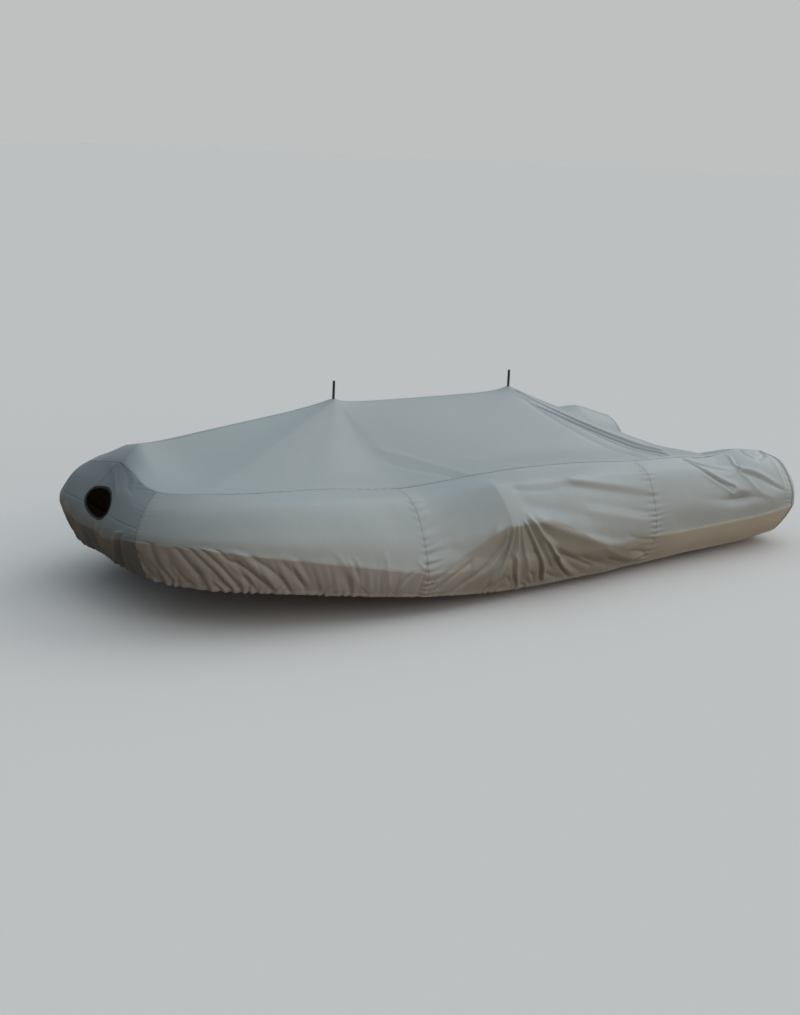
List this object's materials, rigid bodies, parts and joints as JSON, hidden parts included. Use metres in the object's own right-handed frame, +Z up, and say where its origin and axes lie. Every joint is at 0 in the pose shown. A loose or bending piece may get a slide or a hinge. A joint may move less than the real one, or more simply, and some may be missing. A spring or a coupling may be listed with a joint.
{
  "type": "boat cover with two support poles",
  "caption": "Fitted fabric cover for an inflatable boat, raised like a tent on upright poles, with panelled sides, an elastic hem, closed stern socks and a bound hand hole at the bow.",
  "frame": {"origin": "on the centre plane just under the ridge of the top, between the poles that hold it up", "axes": "+X to the stern, -Y to port, +Z up"},
  "size_m": [3.9186, 1.8799, 0.958],
  "materials": {
    "cloth": "coated polyester, satin",
    "cap_cloth": "coated polyester, satin",
    "binding": "woven tape",
    "pole": "black"
  },
  "bodies": {
    "root": {"top_panel": "cloth", "side_forward_port": "cloth", "side_forward_starboard": "cloth", "side_mid_port": "cloth", "side_mid_starboard": "cloth", "side_aft_port": "cloth", "side_aft_starboard": "cloth", "sock_inner_port": "cloth", "sock_inner_starboard": "cloth", "end_cap_port": "cloth", "end_cap_starboard": "cloth", "stern_panel": "cloth", "bow_cap_upper": "cap_cloth", "bow_cap_lower": "cap_cloth", "hole_binding": "binding", "pole_forward": "pole", "pole_aft": "pole"}
  },
  "joints": []
}
